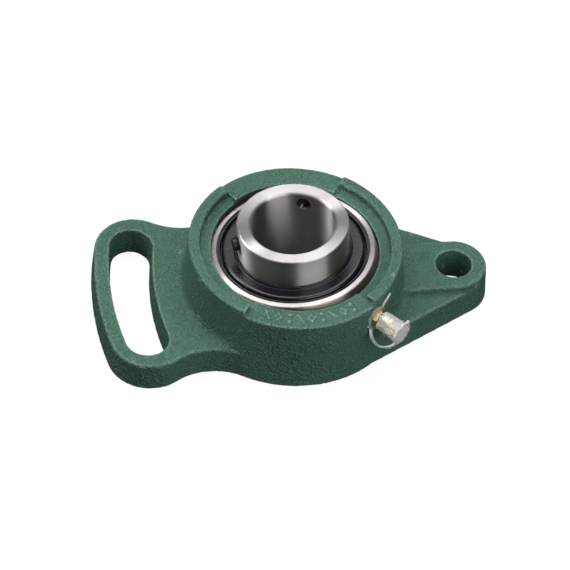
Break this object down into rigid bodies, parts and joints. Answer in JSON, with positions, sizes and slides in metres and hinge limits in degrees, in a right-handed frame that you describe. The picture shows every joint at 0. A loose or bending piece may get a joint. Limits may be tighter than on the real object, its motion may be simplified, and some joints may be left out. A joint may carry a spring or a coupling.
{
  "type": "two-bolt adjustable flange bearing unit",
  "caption": "Cast flange housing with a round bolt hole and an arc slot, holding a self-aligning ball bearing insert with set screws and a capped grease nipple.",
  "frame": {"origin": "bearing centre, on the shaft axis at the centre of the spherical seat, 18.7 mm in front of the mounting face", "axes": "+Z square to the mounting face, out of the front; +X from the bearing centre to the round bolt hole"},
  "size_m": [0.1436, 0.0826, 0.0425],
  "materials": {
    "green_casting": "enamelled sand casting, fine grain",
    "ground_steel": "ground and honed bearing steel",
    "ball_steel": "polished",
    "cage_steel": "pressed sheet",
    "seal_steel": "black phosphated sheet",
    "seal_rubber": "matt rubber",
    "flinger_black": "glossy blue-black coating",
    "black_oxide": "black oxide, lightly oiled",
    "nipple_brass": "turned",
    "spring_steel": "drawn wire",
    "clear_plastic": "milky translucent moulding"
  },
  "bodies": {
    "housing": {"housing": "green_casting", "nipple_body": "nipple_brass", "nipple_spring": "spring_steel", "cap_tether": "clear_plastic"},
    "outer_ring": {"outer_ring": "ground_steel", "front_seal_plate": "seal_steel", "front_seal_lip": "seal_rubber", "back_seal_plate": "seal_steel", "back_seal_lip": "seal_rubber"},
    "inner_ring": {"inner_ring": "ground_steel", "front_flinger": "flinger_black", "back_flinger": "flinger_black"},
    "cage": {"cage_front_half": "cage_steel", "cage_back_half": "cage_steel", "cage_rivets": "cage_steel"},
    "ball_1": {"ball_1": "ball_steel"},
    "ball_2": {"ball_2": "ball_steel"},
    "ball_3": {"ball_3": "ball_steel"},
    "ball_4": {"ball_4": "ball_steel"},
    "ball_5": {"ball_5": "ball_steel"},
    "ball_6": {"ball_6": "ball_steel"},
    "ball_7": {"ball_7": "ball_steel"},
    "ball_8": {"ball_8": "ball_steel"},
    "ball_9": {"ball_9": "ball_steel"},
    "set_screw_1": {"set_screw_1": "black_oxide"},
    "set_screw_2": {"set_screw_2": "black_oxide"},
    "nipple_cap": {"nipple_cap": "clear_plastic"},
    "check_ball": {"nipple_check_ball": "ball_steel"}
  },
  "joints": [
    {"name": "self_align_tilt", "type": "hinge", "parent": "housing", "child": "outer_ring", "pos_m": [0, 0, 0], "axis": [-0.5878, -0.809, 0], "range_deg": [-11, 1]},
    {"name": "inner_ring_spin", "type": "hinge", "parent": "outer_ring", "child": "inner_ring", "pos_m": [0, 0, 0], "axis": [-0.0691, 0.0502, 0.9963], "continuous": true},
    {"name": "cage_orbit", "type": "hinge", "parent": "outer_ring", "child": "cage", "pos_m": [0, 0, 0], "axis": [-0.0691, 0.0502, 0.9963], "continuous": true},
    {"name": "ball_1_roll", "type": "hinge", "parent": "cage", "child": "ball_1", "pos_m": [0.00004, 0.02297, -0.00115], "axis": [-0.0691, 0.0502, 0.9963], "continuous": true},
    {"name": "ball_2_roll", "type": "hinge", "parent": "cage", "child": "ball_2", "pos_m": [-0.01472, 0.01757, -0.00191], "axis": [-0.0691, 0.0502, 0.9963], "continuous": true},
    {"name": "ball_3_roll", "type": "hinge", "parent": "cage", "child": "ball_3", "pos_m": [-0.02259, 0.00395, -0.00177], "axis": [-0.0691, 0.0502, 0.9963], "continuous": true},
    {"name": "ball_4_roll", "type": "hinge", "parent": "cage", "child": "ball_4", "pos_m": [-0.01989, -0.01152, -0.0008], "axis": [-0.0691, 0.0502, 0.9963], "continuous": true},
    {"name": "ball_5_roll", "type": "hinge", "parent": "cage", "child": "ball_5", "pos_m": [-0.00789, -0.0216, 0.00054], "axis": [-0.0691, 0.0502, 0.9963], "continuous": true},
    {"name": "ball_6_roll", "type": "hinge", "parent": "cage", "child": "ball_6", "pos_m": [0.00781, -0.02157, 0.00163], "axis": [-0.0691, 0.0502, 0.9963], "continuous": true},
    {"name": "ball_7_roll", "type": "hinge", "parent": "cage", "child": "ball_7", "pos_m": [0.01985, -0.01145, 0.00195], "axis": [-0.0691, 0.0502, 0.9963], "continuous": true},
    {"name": "ball_8_roll", "type": "hinge", "parent": "cage", "child": "ball_8", "pos_m": [0.0226, 0.00403, 0.00136], "axis": [-0.0691, 0.0502, 0.9963], "continuous": true},
    {"name": "ball_9_roll", "type": "hinge", "parent": "cage", "child": "ball_9", "pos_m": [0.01478, 0.01762, 0.00014], "axis": [-0.0691, 0.0502, 0.9963], "continuous": true},
    {"name": "set_screw_1_travel", "type": "slide", "parent": "inner_ring", "child": "set_screw_1", "axis": [-0.4074, -0.9131, 0.0178], "range_m": [-0.001, 0.0012]},
    {"name": "set_screw_2_travel", "type": "slide", "parent": "inner_ring", "child": "set_screw_2", "axis": [0.9923, 0.1061, 0.0635], "range_m": [-0.001, 0.0012]},
    {"name": "cap_pull", "type": "slide", "parent": "housing", "child": "nipple_cap", "axis": [0.6428, -0.766, 0], "range_m": [0, 0.0085], "deforming": ["cap_tether"]},
    {"name": "check_ball_press", "type": "slide", "parent": "housing", "child": "check_ball", "axis": [-0.6428, 0.766, 0], "range_m": [0, 0.0007], "stiffness_N_per_m": 150, "springref_m": -0.0006, "deforming": ["nipple_spring"]}
  ],
  "couplings": [
    {"joint": "cage_orbit", "follows": "inner_ring_spin", "ratio": 0.39647},
    {"joint": "ball_1_roll", "follows": "inner_ring_spin", "ratio": -2.3112},
    {"joint": "ball_2_roll", "follows": "inner_ring_spin", "ratio": -2.3112},
    {"joint": "ball_3_roll", "follows": "inner_ring_spin", "ratio": -2.3112},
    {"joint": "ball_4_roll", "follows": "inner_ring_spin", "ratio": -2.3112},
    {"joint": "ball_5_roll", "follows": "inner_ring_spin", "ratio": -2.3112},
    {"joint": "ball_6_roll", "follows": "inner_ring_spin", "ratio": -2.3112},
    {"joint": "ball_7_roll", "follows": "inner_ring_spin", "ratio": -2.3112},
    {"joint": "ball_8_roll", "follows": "inner_ring_spin", "ratio": -2.3112},
    {"joint": "ball_9_roll", "follows": "inner_ring_spin", "ratio": -2.3112}
  ]
}
